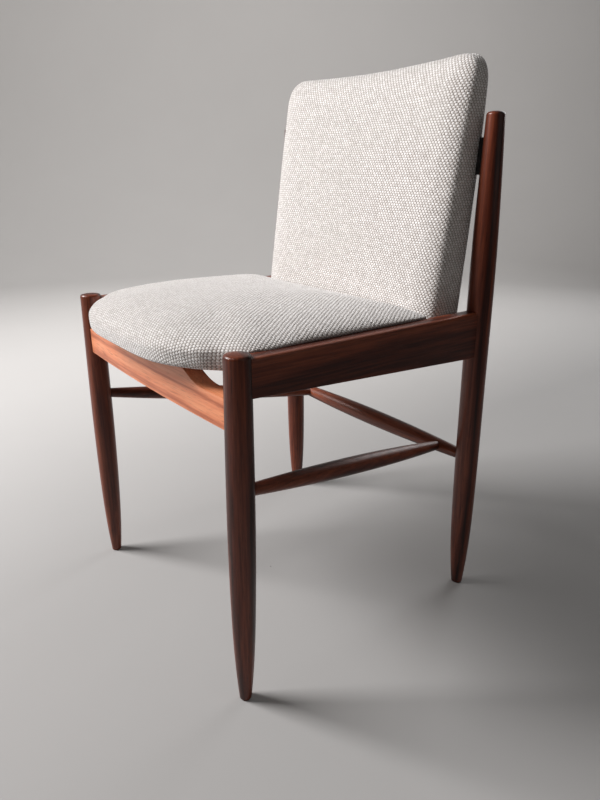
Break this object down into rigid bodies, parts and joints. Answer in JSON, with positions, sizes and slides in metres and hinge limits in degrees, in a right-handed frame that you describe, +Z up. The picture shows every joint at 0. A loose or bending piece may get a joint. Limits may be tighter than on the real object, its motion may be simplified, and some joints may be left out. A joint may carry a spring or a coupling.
{
  "type": "dining chair",
  "caption": "Side chair with a turned and dowelled hardwood frame, a padded seat dropped between its side rails, and a curved padded back hung between the rear posts.",
  "frame": {"origin": "on the floor, midway across the chair and midway between its front and rear extremes", "axes": "+Z up; the front of the chair faces -Y; +X is the sitter's left"},
  "size_m": [0.473, 0.4744, 0.785],
  "materials": {
    "oiled_wood": "oiled reddish-brown teak, satin, grain along each member",
    "plain_wood": "plain beech, unfinished",
    "plywood": "birch plywood, unfinished",
    "foam": "soft upholstery foam",
    "upholstery": "chunky off-white basket weave",
    "lining": "thin black bottoming cloth",
    "screw_steel": "zinc-plated, dull",
    "black_steel": "satin black paint"
  },
  "bodies": {
    "root": {"front_leg_left": "oiled_wood", "front_leg_right": "oiled_wood", "rear_post_left": "oiled_wood", "rear_post_right": "oiled_wood", "side_rail_left": "oiled_wood", "side_rail_right": "oiled_wood", "side_stretcher_left": "oiled_wood", "side_stretcher_right": "oiled_wood", "seat_cleat_left": "plain_wood", "seat_cleat_right": "plain_wood", "front_rail": "oiled_wood", "rear_rail": "oiled_wood", "rear_stretcher": "oiled_wood", "front_rail_dowels": "plain_wood", "side_rail_dowels": "plain_wood", "rear_rail_dowels": "plain_wood", "seat_board": "plywood", "seat_foam": "foam", "seat_cover": "upholstery", "seat_lining": "lining", "cleat_screws": "screw_steel", "seat_screws": "screw_steel", "shell_screws": "screw_steel", "bar_screws": "screw_steel", "lower_back_screws": "screw_steel", "back_shell": "plywood", "back_foam": "foam", "back_rear_pad": "foam", "back_cover": "upholstery", "back_rear_panel": "upholstery", "back_mounting_bar": "black_steel", "lower_spacers": "plain_wood"}
  },
  "joints": []
}
